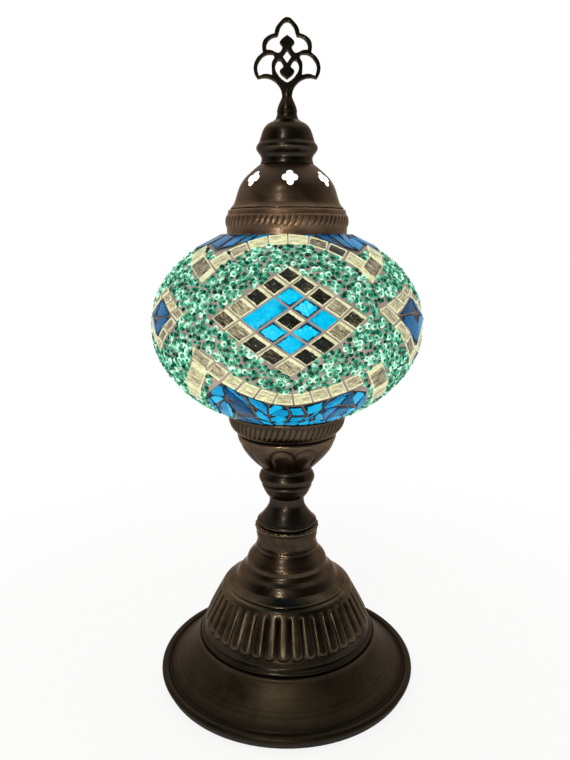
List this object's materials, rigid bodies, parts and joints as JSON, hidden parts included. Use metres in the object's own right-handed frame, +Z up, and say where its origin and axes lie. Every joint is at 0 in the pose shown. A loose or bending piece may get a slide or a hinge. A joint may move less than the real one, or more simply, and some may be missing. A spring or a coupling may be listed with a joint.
{
  "type": "mosaic glass table lamp",
  "caption": "Table lamp with a spun and fluted metal base, a turned stem, a flattened glass globe covered in mosaic tiles, and a lift-off pierced cap with an openwork finial.",
  "frame": {"origin": "centre of the felt pad's underside, on the table", "axes": "+Z up along the stem, -Y towards the viewer, +X to the viewer's right"},
  "size_m": [0.172, 0.172, 0.416],
  "materials": {
    "antique_bronze": "antiqued, brown-black with rubbed edges",
    "brass": "plain",
    "steel": "zinc plated",
    "felt": "felted",
    "rubber": "matt",
    "clear_glass": "clear blown",
    "mosaic": "cut glass tiles and beads in grout",
    "phenolic": "moulded",
    "opal_glass": "opal"
  },
  "bodies": {
    "stand": {"felt_pad": "felt", "base_dish": "antique_bronze", "cord_grommet": "rubber", "fluted_dome": "antique_bronze", "stepped_shoulder": "antique_bronze", "stem_drum": "antique_bronze", "stem_trumpet": "antique_bronze", "stem_knop": "antique_bronze", "petal_cup": "antique_bronze", "lower_gallery": "antique_bronze", "central_tube": "steel", "base_clamp_plate": "steel", "base_washer": "steel", "base_nut": "brass", "gallery_washer": "steel", "gallery_nut": "brass", "holder_base": "phenolic", "holder_body": "phenolic", "holder_screw_shell": "brass", "holder_contact": "brass", "globe_gasket": "rubber", "glass_globe": "clear_glass", "mosaic_layer": "mosaic"},
    "cap": {"cap_collar": "antique_bronze", "cap_dome": "antique_bronze", "cap_bell": "antique_bronze", "finial": "antique_bronze", "finial_stud": "steel", "finial_washer": "steel", "finial_nut": "brass", "cap_clip_1": "brass", "cap_clip_2": "brass", "cap_clip_3": "brass", "clip_rivet_1": "brass", "clip_rivet_2": "brass", "clip_rivet_3": "brass"},
    "bulb": {"bulb_contact": "steel", "bulb_insulator": "phenolic", "bulb_screw_cap": "steel", "bulb_envelope": "opal_glass"}
  },
  "joints": [
    {"name": "cap_lift", "type": "slide", "parent": "stand", "child": "cap", "axis": [0, 0, 1], "range_m": [0, 0.09]},
    {"name": "bulb_turn", "type": "hinge", "parent": "stand", "child": "bulb", "pos_m": [0, 0, 0.2], "axis": [0, 0, 1], "range_deg": [0, 1440]}
  ]
}
